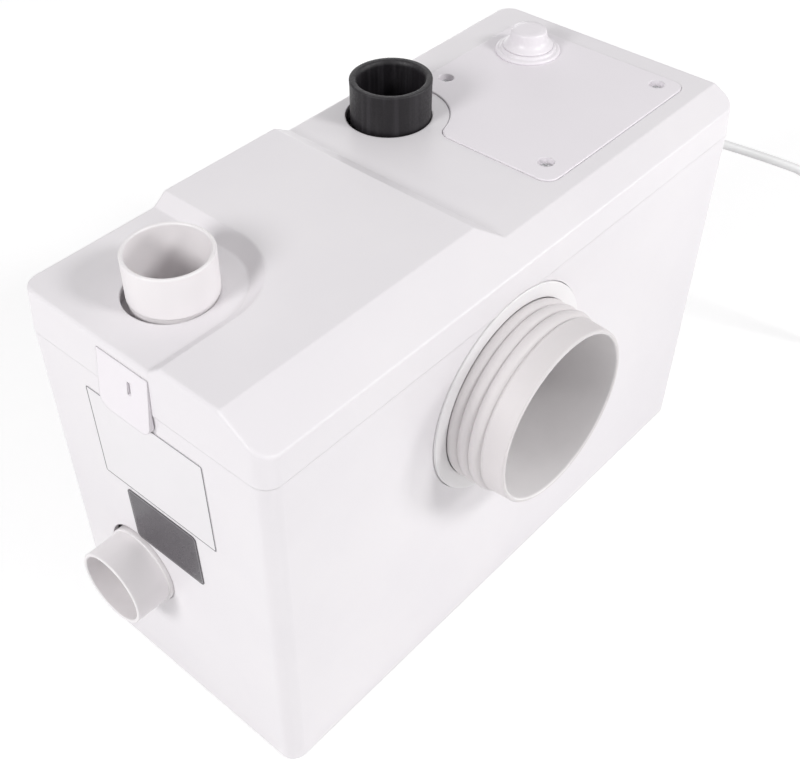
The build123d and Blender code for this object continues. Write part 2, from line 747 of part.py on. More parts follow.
def make_motor_cap():
    cap = disc(motor_radius, motor_z1, motor_z1 + 5.0) + disc(15.0, 203.6, motor_z1)
    cap = fillet(cap.faces().sort_by(Axis.Z)[-1].edges(), 2.0)
    return cap - disc(11.0, 203.0, 213.6)


def make_windings():
    """The wound ends of the stator's coils, below and above its iron."""
    return [tube(44.0, 28.0, 121.0, 134.8), tube(44.0, 28.0, 190.2, 202.5)]


# Mains lead

def bend_radii(points):
    """For each corner, 0.45 of its shorter run over the tangent of half its turn."""
    radii = []
    for before, here, after in zip(points, points[1:], points[2:]):
        run_in = Vector(*here) - Vector(*before)
        run_out = Vector(*after) - Vector(*here)
        half_turn = radians(run_in.get_angle(run_out)) / 2
        radii.append(0.45 * min(run_in.length, run_out.length) / tan(half_turn))
    return radii


def round_tube(path, name):
    """The lead's round solid along a path. Its volume is set against its section and length."""
    solid = sweep(Plane(origin=path @ 0, z_dir=path % 0) * Circle(cord_radius), path=path)
    straight = pi * cord_radius ** 2 * path.length
    print(name, "length mm", round(path.length), "volume ratio", round(solid.volume / straight, 4))
    return solid


def make_lead(route, name):
    """A stretch of the lead: straight runs joined by arcs."""
    radii = bend_radii(route)
    print(name, "radii mm", [round(r) for r in radii])
    return round_tube(FilletPolyline(route, radius=radii), name)


def make_gland():
    """Cable gland in the far end: inner nut, outer nut and tapered sleeve."""
    face = tank_half_length(gland_z)
    start = cord_route[0][0]
    body = turned([
        (0, face - 10.0), (11.0, face - 10.0), (11.0, face - wall - 0.5), (8.0, face - wall - 0.5),
        (8.0, face + 0.4), (11.5, face + 0.4), (11.5, face + 5.0), (8.6, face + 6.4), (6.4, face + 7.4),
        (4.8, start), (0, start)])
    return Pos(0, gland_y, gland_z) * Rot(0, 90, 0) * body


def biarc(p0, t0, p1, t1):
    """Two arcs, tangent to each other, from p0 along t0 to p1 along t1."""
    chord = p1 - p0
    a = 2 * (1 - t0.dot(t1))
    b = 2 * chord.dot(t0 + t1)
    c = -chord.dot(chord)
    reach = -c / b if abs(a) < 1e-9 else (-b + sqrt(b * b - 4 * a * c)) / (2 * a)
    middle = (p0 + p1 + (t0 - t1) * reach) * 0.5
    first = TangentArc(p0, middle, tangent=t0)
    return [first, TangentArc(middle, p1, tangent=first % 1)]


coil_run = (Vector(*cord_route[-1]) - Vector(*cord_route[-2])).normalized()
coil_entry = Vector(*cord_route[-1]) + coil_run * (2 * cord_radius)
coil_centre = coil_entry + Vector(coil_run.Y, -coil_run.X, 0) * coil_outer
coil_first = radians(Vector(1, 0, 0).get_signed_angle(coil_entry - coil_centre, Vector(0, 0, 1)))


def coil_point(turn):
    """Centre line after so many clockwise turns: in, up a layer in half a turn, and out again."""
    middle = coil_turns / 2
    radius = coil_outer - coil_pitch * (middle - abs(turn - middle))
    climb = min(max((turn - middle) / 0.5 + 0.5, 0.0), 1.0)
    rise = coil_layer * climb * climb * (3 - 2 * climb)
    angle = coil_first - 2 * pi * turn
    return coil_centre + Vector(radius * cos(angle), radius * sin(angle), rise)


def coil_tangent(turn):
    step = 0.002
    return (coil_point(turn + step) - coil_point(turn - step)).normalized()


def coil_path():
    """A straight entry, quarter turns as pairs of arcs, a ramp to the floor, and a rise into the plug."""
    turns = [i / 4 for i in range(round(coil_turns * 4) + 1)]
    points = [coil_point(t) for t in turns]
    tangents = [coil_tangent(t) for t in turns]
    heading = Vector(tangents[-1].X, tangents[-1].Y, 0).normalized()
    slope = heading * cos(radians(plug_tilt)) + Vector(0, 0, sin(radians(plug_tilt)))
    tangents[0] = coil_run
    tangents[-1] = heading
    points.append(points[-1] + heading * tail_ramp - Vector(0, 0, coil_layer))
    tangents.append(heading)
    points.append(points[-1] + heading * tail_rise + Vector(0, 0, plug_entry_z - cord_radius))
    tangents.append(slope)
    edges = [Line(Vector(*cord_route[-1]), coil_entry)]
    for p0, t0, p1, t1 in zip(points, tangents, points[1:], tangents[1:]):
        edges += biarc(p0, t0, p1, t1)
    end = points[-1] + slope * (2 * cord_radius)
    edges.append(Line(points[-1], end))
    return Wire(edges), Plane(origin=end, x_dir=Vector(slope.Y, -slope.X, 0), z_dir=slope)


def least_gap(wire):
    """Smallest space between one stretch of the coil and another."""
    count = 1500
    diameter = 2 * cord_radius
    points = [wire.position_at(i / count) for i in range(count + 1)]
    skip = int(3 * diameter * count / wire.length)
    least = min(
        (points[i] - points[j]).length
        for i in range(0, count, 2) for j in range(i + skip, count + 1, 2))
    return least - diameter


def make_coil(wire):
    print("coil least gap mm", round(least_gap(wire), 2))
    return round_tube(wire, "coil")


def make_plug():
    """Round plug with a tapered tail and two grip flats, before it is laid down."""
    body = turned([
        (0, 0), (4.6, 0), (5.2, 14.0), (8.4, 17.0), (10.5, 30.0), (15.5, 38.0), (18.4, 42.0),
        (18.4, plug_length - 1.0), (17.6, plug_length), (0, plug_length)])
    for x in (-19.0, 19.0):
        body -= block(x - 3.0, x + 3.0, -3.0, 3.0, 40.0, plug_length + 1.0)
    return body


def make_plug_pins():
    pin = turned([
        (0, plug_length), (2.4, plug_length), (2.4, plug_length + 17.0), (1.2, plug_length + 19.0),
        (0, plug_length + 19.0)])
    return [Pos(0, y, 0) * pin for y in (-9.5, 9.5)]


# Plates on the near end

def end_plate(width, height, corner, y, z, thick, turn=0.0):
    """Thin plate lying on the near end's sloping face."""
    lean = degrees(atan(tank_draft / tank_height))
    plate = extrude(RectangleRounded(height, width, corner), thick / 2, both=True)
    return Pos(-tank_half_length(z) - thick / 2 - 0.04, y, z) * Rot(turn, 0, 0) * Rot(0, 90 - lean, 0) * plate


# All sub-parts

def static_nodes():
    """Tank, lid, ports and electrics."""
    return {
        "tank": make_tank(),
        "floor_pads": make_pads(),
        "lid": make_lid(),
        "lid_gasket": make_lid_gasket(),
        "near_latch": make_latch(-1),
        "far_latch": make_latch(1),
        "cover_gasket": make_cover_gasket(),
        "cover_plate": make_cover_plate(),
        "cover_screws": make_cover_screws(),
        "vent_base": make_vent_base(),
        "vent_cap": make_vent_cap(),
        "carbon_filter": make_carbon_filter(),
        "electrics_box": make_electrics_box(),
        "capacitor": make_capacitor(),
        "terminal_block": make_terminal_block(),
        "switch_housing": make_switch_housing(),
        "switch_diaphragm": make_switch_diaphragm(),
        "micro_switch": make_micro_switch(),
        "pressure_tube": make_pressure_tube(),
        "thermal_cutout": make_thermal_cutout(),
        "collar_ring": make_collar_ring(),
        "inlet_collar": make_inlet_collar(),
        "waste_chute": make_waste_chute(),
        "top_inlet": make_top_inlet(),
        "side_inlet": make_side_inlet(),
        "side_gasket": make_side_gasket(),
        "top_flap": top_flap_frame * make_flap(inlet_flap),
        "side_flap": side_flap_frame * make_flap(inlet_flap),
        "inlet_pins": [frame * make_pin(inlet_flap) for frame in (top_flap_frame, side_flap_frame)],
        "outlet_sleeve": make_outlet_sleeve(),
        "valve_body": make_valve_body(),
        "valve_flap": outlet_flap_frame * make_flap(outlet_flap),
        "valve_pin": outlet_flap_frame * make_pin(outlet_flap),
        "outlet_pipe": make_outlet_pipe(),
        "info_label": end_plate(92.0, 66.0, 1.5, -0.5, 203.8, 0.3, turn=-1.0),
        "rating_plate": end_plate(57.5, 41.0, 3.0, -1.3, 147.4, 0.4, turn=-1.5),
    }


def pump_nodes():
    """Everything on the pump's axis, in place."""
    nodes = {
        "pump_mounts": make_pump_mounts(),
        "suction_cover": [make_suction_cover()],
        "pump_screws": make_pump_screws(),
        "volute": [make_volute()],
        "impeller": [make_impeller()],
        "shaft": [make_shaft()],
        "basket": [make_basket()],
        "cutter": [make_cutter()],
        "motor_bracket": [make_motor_bracket()],
        "shaft_seal": [tube(12.0, shaft_radius + running_gap, 88.0, 96.0)],
        "lower_bearing": [tube(13.0, shaft_radius + running_gap, 107.0, 115.0)],
        "upper_bearing": [tube(11.0, shaft_tip + running_gap, 204.5, 211.5)],
        "stator": [tube(motor_bore, 25.3, 135.0, 190.0)],
        "windings": make_windings(),
        "rotor": [tube(24.8, shaft_radius, 134.0, 191.0)],
        "motor_can": [make_motor_can()],
        "motor_cap": [make_motor_cap()],
    }
    return {name: [Pos(pump_x, pump_y, 0) * solid for solid in solids] for name, solids in nodes.items()}


def lead_nodes():
    """Gland, lead, coil and plug."""
    wire, plug_frame = coil_path()
    return {
        "cable_gland": make_gland(),
        "inner_lead": make_lead(inner_route, "inner lead"),
        "mains_cord": make_lead(cord_route, "mains cord"),
        "cord_coil": make_coil(wire),
        "mains_plug": plug_frame * make_plug(),
        "plug_pins": [plug_frame * pin for pin in make_plug_pins()],
    }


def write_nodes():
    os.makedirs("parts", exist_ok=True)
    for name, shape in (static_nodes() | pump_nodes() | lead_nodes()).items():
        solids = shape if isinstance(shape, list) else [shape]
        export_step(Compound(children=solids), f"parts/{name}.step")


write_nodes()
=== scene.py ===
import bmesh
import bpy
import math
import numpy as np
from mathutils import Matrix, Vector


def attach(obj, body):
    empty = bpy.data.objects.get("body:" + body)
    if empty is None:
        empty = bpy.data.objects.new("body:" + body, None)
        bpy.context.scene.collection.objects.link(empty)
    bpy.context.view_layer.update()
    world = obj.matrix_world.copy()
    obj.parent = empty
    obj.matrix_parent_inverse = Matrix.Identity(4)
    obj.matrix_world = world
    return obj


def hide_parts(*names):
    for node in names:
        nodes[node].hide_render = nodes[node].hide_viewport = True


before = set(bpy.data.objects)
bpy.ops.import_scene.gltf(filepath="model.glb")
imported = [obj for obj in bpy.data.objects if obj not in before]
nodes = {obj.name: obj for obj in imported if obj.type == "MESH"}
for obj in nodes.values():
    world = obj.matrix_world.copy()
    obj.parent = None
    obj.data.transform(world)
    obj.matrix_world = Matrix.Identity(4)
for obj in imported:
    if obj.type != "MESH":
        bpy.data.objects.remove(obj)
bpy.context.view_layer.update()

# The whole scene is in metres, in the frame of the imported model: +Z up, collar towards -Y.


# Small helpers

def unit(vector):
    return np.asarray(vector, float) / np.linalg.norm(vector)


def sideAxes(axis):
    # two directions square to the axis and to each other
    axis = unit(axis)
    helper = np.array([0.0, 0.0, 1.0]) if abs(axis[2]) < 0.9 else np.array([0.0, 1.0, 0.0])
    first = unit(np.cross(helper, axis))
    return first, np.cross(axis, first), axis


def softened(corners, cut, steps, closed=True):
    # every corner b between a and c becomes the curve (1-t)^2 a + 2t(1-t) b + t^2 c
    corners = np.asarray(corners, float)
    rows = []
    for i, here in enumerate(corners):
        if not closed and i in (0, len(corners) - 1):
            rows.append(here[None])
            continue
        before = corners[i - 1] - here
        after = corners[(i + 1) % len(corners)] - here
        back = here + before * min(cut / np.linalg.norm(before), 0.45)
        ahead = here + after * min(cut / np.linalg.norm(after), 0.45)
        t = np.linspace(0, 1, steps + 1)[:, None]
        rows.append((1 - t) ** 2 * back + 2 * t * (1 - t) * here + t ** 2 * ahead)
    return np.concatenate(rows)


def gridMesh(name, points, closed=False, sharp=40.0):
    # a face for every cell of a grid of points; a closed grid joins its last row and column to its first
    rows, columns = points.shape[:2]
    ends = 0 if closed else 1
    r, c = np.meshgrid(np.arange(rows - ends), np.arange(columns - ends), indexing="ij")
    r2 = (r + 1) % rows
    c2 = (c + 1) % columns
    corners = (r * columns + c, r2 * columns + c, r2 * columns + c2, r * columns + c2)
    faces = np.stack(corners, -1).reshape(-1, 4)
    mesh = bpy.data.meshes.new(name)
    mesh.from_pydata(points.reshape(-1, 3).tolist(), [], faces.tolist())
    return finishedMesh(name, mesh, sharp)


def finishedMesh(name, mesh, sharp):
    # doubled points merged, faces pointing outwards, smooth except at sharp edges
    work = bmesh.new()
    work.from_mesh(mesh)
    bmesh.ops.remove_doubles(work, verts=work.verts, dist=1e-6)
    bmesh.ops.recalc_face_normals(work, faces=work.faces)
    work.to_mesh(mesh)
    work.free()
    mesh.polygons.foreach_set("use_smooth", [True] * len(mesh.polygons))
    mesh.set_sharp_from_angle(angle=math.radians(sharp))
    piece = bpy.data.objects.new(name, mesh)
    bpy.context.scene.collection.objects.link(piece)
    return piece


def turned(name, profile, origin, axis, count, wave=None, sharp=40.0):
    # each (radius, height) goes round the axis: origin + axis*height + radius*(cos a*side + sin a*up)
    side, up, axis = sideAxes(axis)
    profile = np.asarray(profile, float)
    angles = np.linspace(0, 2 * np.pi, count, endpoint=False)
    radius = np.repeat(profile[:, :1], count, 1)
    height = np.repeat(profile[:, 1:], count, 1)
    if wave is not None:
        radius, height = wave(radius, height, angles[None, :])
    around = np.cos(angles)[None, :, None] * side + np.sin(angles)[None, :, None] * up
    points = np.asarray(origin, float) + height[..., None] * axis + radius[..., None] * around
    return gridMesh(name, points, closed=True, sharp=sharp)


# Camera, set from the photograph's perspective

camera = {
    "spot": (-0.45454, -0.38241, 0.67684),
    "azimuth": 46.46,
    "elevation": 42.95,
    "roll": -1.37,
    "lens": 54.65,
    "shift": (0.0565, -0.021),
    "clip": 0.02,
}


def makeCamera():
    azimuth, elevation, roll = (math.radians(camera[key]) for key in ("azimuth", "elevation", "roll"))
    back = Vector((
        -math.sin(azimuth) * math.cos(elevation),
        -math.cos(azimuth) * math.cos(elevation),
        math.sin(elevation),
    ))
    level = Vector((math.cos(azimuth), -math.sin(azimuth), 0.0))
    top = back.cross(level)
    right = level * math.cos(roll) + top * math.sin(roll)
    up = top * math.cos(roll) - level * math.sin(roll)
    data = bpy.data.cameras.new("photoCamera")
    data.lens = camera["lens"]
    data.shift_x, data.shift_y = camera["shift"]
    data.clip_start = camera["clip"]
    cameraObject = bpy.data.objects.new("photoCamera", data)
    turn = Matrix((right, up, back)).transposed().to_4x4()
    cameraObject.matrix_world = Matrix.Translation(camera["spot"]) @ turn
    bpy.context.scene.collection.objects.link(cameraObject)
    bpy.context.scene.camera = cameraObject


makeCamera()
print("camera ready")


# Shader groups that several finishes share

looks = {
    "noiseSpan": (0.3, 0.7),
    # the streak settings shape painted sheen: lighter upright streaks that stand in for glossy highlights
    "sheenStreakSpan": (0.42, 0.72),
    "sheenStreakScale": 260.0,
    "sheenStreakDraw": 0.04,
    "leanSpan": (0.995, 0.8),
    "lineSpan": (0.8, 1.2),
    "wearShare": 0.55,
    "bumpDistance": 0.0004,
    "coatRoughness": 0.12,
}


def newGroup(name, inputs, outputs):
    group = bpy.data.node_groups.new(name, "ShaderNodeTree")
    for direction, sockets in (("INPUT", inputs), ("OUTPUT", outputs)):
        for label, kind in sockets.items():
            group.interface.new_socket(label, in_out=direction, socket_type="NodeSocket" + kind)
    return group, group.nodes.new("NodeGroupInput"), group.nodes.new("NodeGroupOutput")


def addNode(tree, kind, settings=None, values=None):
    node = tree.nodes.new(kind)
    for key, value in (settings or {}).items():
        setattr(node, key, value)
    for key, value in (values or {}).items():
        node.inputs[key].default_value = value
    return node


def mapRange(tree, source, span, result):
    node = addNode(tree, "ShaderNodeMapRange", {"interpolation_type": "SMOOTHSTEP"}, {
        "From Min": span[0], "From Max": span[1], "To Min": result[0], "To Max": result[1]})
    tree.links.new(source, node.inputs["Value"])
    return node.outputs["Result"]


def mathNode(tree, operation, first, second):
    node = addNode(tree, "ShaderNodeMath", {"operation": operation})
    for socket, source in zip(node.inputs, (first, second)):
        if isinstance(source, (int, float)):
            socket.default_value = source
        else:
            tree.links.new(source, socket)
    return node.outputs[0]


def mixColour(tree, factor, first, second):
    # among the Mix node's sockets 0 is the factor, and 6 and 7 are the two colours
    node = addNode(tree, "ShaderNodeMix", {"data_type": "RGBA"})
    for socket, source in ((node.inputs[0], factor), (node.inputs[6], first), (node.inputs[7], second)):
        if isinstance(source, tuple):
            socket.default_value = (*source, 1.0)
        else:
            tree.links.new(source, socket)
    return node.outputs[2]


def makeGrainGroup():
    # a fine noise for the mould's texture, a broad one for clouds, and one drawn out upright for streaks of
    # painted sheen
    group, inSide, outSide = newGroup(
        "mouldGrain", {"Fine Scale": "Float", "Broad Scale": "Float"},
        {"Height": "Float", "Cloud": "Float", "Sheen Streak": "Float"})
    place = addNode(group, "ShaderNodeTexCoord")
    drawn = addNode(group, "ShaderNodeMapping", None, {"Scale": (1.0, 1.0, looks["sheenStreakDraw"])})
    streak = addNode(group, "ShaderNodeTexNoise", None, {
        "Scale": looks["sheenStreakScale"], "Detail": 3.0, "Roughness": 0.6})
    fine = addNode(group, "ShaderNodeTexNoise", None, {"Detail": 3.0, "Roughness": 0.6})
    broad = addNode(group, "ShaderNodeTexNoise", None, {"Detail": 4.0, "Roughness": 0.55})
    cloud = mapRange(group, broad.outputs["Fac"], looks["noiseSpan"], (0.0, 1.0))
    sheenStreaks = mapRange(group, streak.outputs["Fac"], looks["sheenStreakSpan"], (0.0, 1.0))
    for source, target in (
            (place.outputs["Object"], drawn.inputs["Vector"]),
            (drawn.outputs["Vector"], streak.inputs["Vector"]),
            (place.outputs["Object"], fine.inputs["Vector"]),
            (place.outputs["Object"], broad.inputs["Vector"]),
            (inSide.outputs["Fine Scale"], fine.inputs["Scale"]),
            (inSide.outputs["Broad Scale"], broad.inputs["Scale"]),
            (fine.outputs["Fac"], outSide.inputs["Height"]), (cloud, outSide.inputs["Cloud"]),
            (sheenStreaks, outSide.inputs["Sheen Streak"])):
        group.links.new(source, target)
    return group


def makeEdgeGroup():
    # the rounded normal of a Bevel node softens the edges, and its lean from the face marks them
    group, inSide, outSide = newGroup("softEdge", {"Radius": "Float"}, {"Edge": "Float", "Normal": "Vector"})
    bevel = addNode(group, "ShaderNodeBevel", {"samples": 6})
    face = addNode(group, "ShaderNodeNewGeometry")
    lean = addNode(group, "ShaderNodeVectorMath", {"operation": "DOT_PRODUCT"})
    edge = mapRange(group, lean.outputs["Value"], looks["leanSpan"], (0.0, 1.0))
    for source, target in (
            (inSide.outputs["Radius"], bevel.inputs["Radius"]), (bevel.outputs["Normal"], lean.inputs[0]),
            (face.outputs["Normal"], lean.inputs[1]), (edge, outSide.inputs["Edge"]),
            (bevel.outputs["Normal"], outSide.inputs["Normal"])):
        group.links.new(source, target)
    return group


def makeFrameGroup():
    # a line just inside a rounded rectangle that lies square to X, by its distance from the outline
    group, inSide, outSide = newGroup("frameLine", {
        "Centre": "Vector", "Straight Half": "Vector", "Corner": "Float", "Inset": "Float",
        "Half Width": "Float", "Turn": "Float"}, {"Line": "Float"})
    place = addNode(group, "ShaderNodeTexCoord")
    moved = addNode(group, "ShaderNodeVectorMath", {"operation": "SUBTRACT"})
    spun = addNode(group, "ShaderNodeVectorRotate", {"rotation_type": "X_AXIS"})
    folded = addNode(group, "ShaderNodeVectorMath", {"operation": "ABSOLUTE"})
    beyond = addNode(group, "ShaderNodeVectorMath", {"operation": "SUBTRACT"})
    outside = addNode(group, "ShaderNodeVectorMath", {"operation": "MAXIMUM"})
    reach = addNode(group, "ShaderNodeVectorMath", {"operation": "LENGTH"})
    for source, target in (
            (place.outputs["Object"], moved.inputs[0]), (inSide.outputs["Centre"], moved.inputs[1]),
            (moved.outputs[0], spun.inputs["Vector"]), (inSide.outputs["Turn"], spun.inputs["Angle"]),
            (spun.outputs["Vector"], folded.inputs[0]), (folded.outputs[0], beyond.inputs[0]),
            (inSide.outputs["Straight Half"], beyond.inputs[1]), (beyond.outputs[0], outside.inputs[0]),
            (outside.outputs[0], reach.inputs[0])):
        group.links.new(source, target)
    inward = mathNode(group, "SUBTRACT", inSide.outputs["Corner"], reach.outputs["Value"])
    away = mathNode(group, "ABSOLUTE", mathNode(group, "SUBTRACT", inward, inSide.outputs["Inset"]), 0.0)
    share = mathNode(group, "DIVIDE", away, inSide.outputs["Half Width"])
    group.links.new(mapRange(group, share, looks["lineSpan"], (1.0, 0.0)), outSide.inputs["Line"])
    return group


grainGroup = makeGrainGroup()
edgeGroup = makeEdgeGroup()
frameGroup = makeFrameGroup()


def lineMask(tree, line):
    # 1 on a plate's thin line, from the plate's half sizes, corner and turn
    straight = (half - line["corner"] for half in line["half"])
    node = addNode(tree, "ShaderNodeGroup", {"node_tree": frameGroup}, {
        "Centre": line["centre"],
        "Straight Half": (1.0, *straight),
        "Corner": line["corner"],
        "Inset": line["inset"],
        "Half Width": line["width"] / 2,
        "Turn": math.radians(-line["turn"]),
    })
    return node.outputs["Line"]


def moulded(name, colour, shade, wearAndSheen, rough, grain, fine=900.0, broad=9.0, edge=0.0012, metallic=0.0,
            coat=0.0, shine=0.5, streak=0.0, line=None):
    # colour drifts to shade in soft clouds, lighter as wear on the edges; the grain lifts the surface
    material = bpy.data.materials.new(name)
    material.use_nodes = True
    tree = material.node_tree
    shader = tree.nodes["Principled BSDF"]
    grainNode = addNode(tree, "ShaderNodeGroup", {"node_tree": grainGroup}, {
        "Fine Scale": fine, "Broad Scale": broad})
    edgeNode = addNode(tree, "ShaderNodeGroup", {"node_tree": edgeGroup}, {"Radius": edge})
    base = mixColour(tree, grainNode.outputs["Cloud"], colour, shade)
    # painted sheen: upright streaks lighten the colour, standing in for glossy highlights
    if streak:
        base = mixColour(tree, mathNode(tree, "MULTIPLY", grainNode.outputs["Sheen Streak"], streak), base, wearAndSheen)
    if line:
        base = mixColour(tree, lineMask(tree, line), base, line["colour"])
    wear = mathNode(tree, "MULTIPLY", edgeNode.outputs["Edge"], looks["wearShare"])
    tree.links.new(mixColour(tree, wear, base, wearAndSheen), shader.inputs["Base Color"])
    roughness = mapRange(tree, grainNode.outputs["Height"], looks["noiseSpan"], rough)
    tree.links.new(roughness, shader.inputs["Roughness"])
    bump = addNode(tree, "ShaderNodeBump", None, {"Strength": grain, "Distance": looks["bumpDistance"]})
    tree.links.new(grainNode.outputs["Height"], bump.inputs["Height"])
    tree.links.new(edgeNode.outputs["Normal"], bump.inputs["Normal"])
    tree.links.new(bump.outputs["Normal"], shader.inputs["Normal"])
    shader.inputs["Metallic"].default_value = metallic
    shader.inputs["Coat Weight"].default_value = coat
    shader.inputs["Coat Roughness"].default_value = looks["coatRoughness"]
    shader.inputs["Specular IOR Level"].default_value = shine
    return material


# The two plates on the near end, each with a thin line round it

infoLine = {
    "centre": (0.0, -0.0005, 0.2038),
    "half": (0.046, 0.033),
    "corner": 0.0015,
    "inset": 0.0004,
    "width": 0.0007,
    "turn": -1.0,
    "colour": (0.075, 0.07, 0.08),
}
ratingLine = {
    "centre": (0.0, -0.0013, 0.1474),
    "half": (0.02875, 0.0205),
    "corner": 0.003,
    "inset": 0.0012,
    "width": 0.0005,
    "turn": -1.5,
    "colour": (0.20, 0.19, 0.20),
}


# Finishes, one for each material slot of the record: name, colour, shade, colour for edge wear and painted
# sheen, and the rest

finishes = {
    "white_shell": moulded(
        "whiteShell", (0.815, 0.79, 0.81), (0.79, 0.765, 0.79), (0.86, 0.84, 0.86),
        rough=(0.34, 0.44), grain=0.06),
    "white_cover": moulded(
        "whiteCover", (0.835, 0.80, 0.835), (0.815, 0.78, 0.815), (0.88, 0.86, 0.88),
        rough=(0.30, 0.40), grain=0.05),
    "white_collar": moulded(
        "paleCollar", (0.71, 0.68, 0.685), (0.685, 0.655, 0.66), (0.77, 0.75, 0.75),
        rough=(0.50, 0.62), grain=0.10, fine=600.0),
    # painted light: a lighter copy of the collar's finish, for the lit inside of its mouth
    "collar_inside": moulded(
        "collarInsidePaintedLight", (0.86, 0.835, 0.84), (0.82, 0.795, 0.80), (0.88, 0.86, 0.86),
        rough=(0.46, 0.58), grain=0.06, fine=600.0, broad=22.0),
    "white_ring": moulded(
        "whiteRing", (0.86, 0.845, 0.85), (0.84, 0.825, 0.835), (0.88, 0.87, 0.875),
        rough=(0.34, 0.44), grain=0.05),
    "white_pipe": moulded(
        "whitePipe", (0.865, 0.835, 0.845), (0.84, 0.81, 0.82), (0.89, 0.87, 0.88),
        rough=(0.32, 0.42), grain=0.03),
    "white_lead": moulded(
        "whiteLead", (0.80, 0.80, 0.80), (0.76, 0.76, 0.765), (0.85, 0.85, 0.85),
        rough=(0.34, 0.46), grain=0.06, fine=700.0, broad=30.0),
    # the black rubber's upright lighter streaks are painted sheen, standing in for glossy highlights
    "black_rubber": moulded(
        "blackRubber", (0.0075, 0.0062, 0.0080), (0.011, 0.0095, 0.0115), (0.040, 0.037, 0.042),
        rough=(0.40, 0.58), grain=0.16, fine=700.0, broad=40.0, edge=0.0008, shine=0.36, streak=0.45),
    "inner_plastic": moulded(
        "innerPlastic", (0.19, 0.20, 0.21), (0.16, 0.17, 0.18), (0.30, 0.31, 0.32),
        rough=(0.4, 0.55), grain=0.12),
    "electric_plastic": moulded(
        "electricPlastic", (0.62, 0.61, 0.56), (0.57, 0.56, 0.50), (0.70, 0.69, 0.64),
        rough=(0.35, 0.5), grain=0.08),
    "clear_tube": moulded(
        "clearTube", (0.66, 0.70, 0.70), (0.60, 0.65, 0.65), (0.78, 0.80, 0.80),
        rough=(0.18, 0.28), grain=0.03),
    "charcoal": moulded(
        "charcoal", (0.018, 0.018, 0.018), (0.03, 0.03, 0.03), (0.06, 0.06, 0.06),
        rough=(0.8, 0.95), grain=0.7, fine=260.0),
    "steel": moulded(
        "steel", (0.60, 0.60, 0.61), (0.52, 0.52, 0.53), (0.75, 0.75, 0.76),
        rough=(0.22, 0.38), grain=0.05, fine=1400.0, edge=0.0004, metallic=1.0),
    "painted_can": moulded(
        "paintedCan", (0.03, 0.035, 0.045), (0.045, 0.05, 0.06), (0.22, 0.22, 0.23),
        rough=(0.3, 0.45), grain=0.1, coat=0.2),
    "iron_core": moulded(
        "ironCore", (0.20, 0.19, 0.19), (0.15, 0.14, 0.14), (0.36, 0.35, 0.34),
        rough=(0.4, 0.6), grain=0.2, metallic=0.9),
    "copper_wire": moulded(
        "copperWire", (0.62, 0.25, 0.12), (0.48, 0.17, 0.07), (0.78, 0.38, 0.22),
        rough=(0.25, 0.4), grain=0.3, fine=500.0, metallic=0.9),
    "pin_metal": moulded(
        "pinMetal", (0.72, 0.70, 0.66), (0.62, 0.60, 0.56), (0.82, 0.80, 0.77),
        rough=(0.18, 0.3), grain=0.03, edge=0.0004, metallic=1.0),
    "label_film": moulded(
        "labelFilm", (0.80, 0.78, 0.80), (0.785, 0.765, 0.785), (0.84, 0.83, 0.84),
        rough=(0.40, 0.44), grain=0.0, edge=0.0002, line=infoLine),
    "dark_film": moulded(
        "darkFilm", (0.055, 0.048, 0.058), (0.066, 0.059, 0.069), (0.12, 0.11, 0.12),
        rough=(0.26, 0.36), grain=0.03, edge=0.0002, line=ratingLine),
}


def dressNodes():
    for node in nodes.values():
        for place in node.material_slots:
            place.material = finishes[place.material.name.split(".")[0]]


def dress(piece, slot, *replaced):
    # a piece made here wears a slot's finish and takes the place of the nodes named
    piece.data.materials.append(finishes[slot])
    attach(piece, "root")
    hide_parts(*replaced)
    return piece


dressNodes()
print("finishes ready:", len(finishes))


# Mains lead: the free stretch, the coil, and the tail into the plug

lead = {
    "radius": 0.00325,
    "route": [
        (0.236, -0.050, 0.205), (0.254, -0.050, 0.205), (0.271, -0.057, 0.1995), (0.286, -0.072, 0.1915),
        (0.301, -0.092, 0.1835), (0.316, -0.113, 0.1745), (0.328, -0.130, 0.149), (0.337, -0.144, 0.109),
        (0.346, -0.156, 0.071), (0.355, -0.170, 0.037), (0.362, -0.187, 0.0135), (0.366, -0.206, 0.00325),
        (0.366, -0.225, 0.00325),
    ],
    "coilCentre": (0.321, -0.2315),
    "coilRadius": 0.045,
    "coilTurns": 4.25,
    "coilPitch": 0.0071,
    "coilLayer": 0.0071,
    "climbTurns": 0.5,
    "pointsPerTurn": 16,
    "tail": [
        (0.309, -0.2765, 0.01035), (0.287, -0.2765, 0.00325), (0.273, -0.2765, 0.00325),
        (0.2635, -0.2765, 0.0043), (0.2568, -0.2765, 0.00625),
    ],
    "length": 1.39,
}


def coilPoint(turn):
    # the radius shrinks to the middle turn and grows again, one layer higher
    middle = lead["coilTurns"] / 2
    radius = lead["coilRadius"] - lead["coilPitch"] * (middle - abs(turn - middle))
    climb = min(max((turn - middle) / lead["climbTurns"] + 0.5, 0.0), 1.0)
    height = lead["radius"] + lead["coilLayer"] * climb * climb * (3 - 2 * climb)
    angle = -2 * math.pi * turn
    x, y = lead["coilCentre"]
    return x + radius * math.cos(angle), y + radius * math.sin(angle), height


def makeLead():
    count = round(lead["coilTurns"] * lead["pointsPerTurn"])
    points = list(lead["route"])
    points += [coilPoint(i / lead["pointsPerTurn"]) for i in range(count + 1)]
    points += lead["tail"]
    curve = bpy.data.curves.new("mainsLead", "CURVE")
    curve.dimensions = "3D"
    spline = curve.splines.new("NURBS")
    spline.points.add(len(points) - 1)
    for point, place in zip(spline.points, points):
        point.co = (*place, 1.0)
    spline.order_u = 3
    spline.use_endpoint_u = True
    spline.resolution_u = 6
    curve.bevel_depth = lead["radius"]
    curve.bevel_resolution = 5
    curve.use_fill_caps = True
    piece = bpy.data.objects.new("mainsLead", curve)
    bpy.context.scene.collection.objects.link(piece)
    return dress(piece, "white_lead", "mains_cord", "cord_coil")


mainsLead = makeLead()
print("lead ready")


# Strain relief: a flanged nut on the far end and a ribbed tapered sleeve

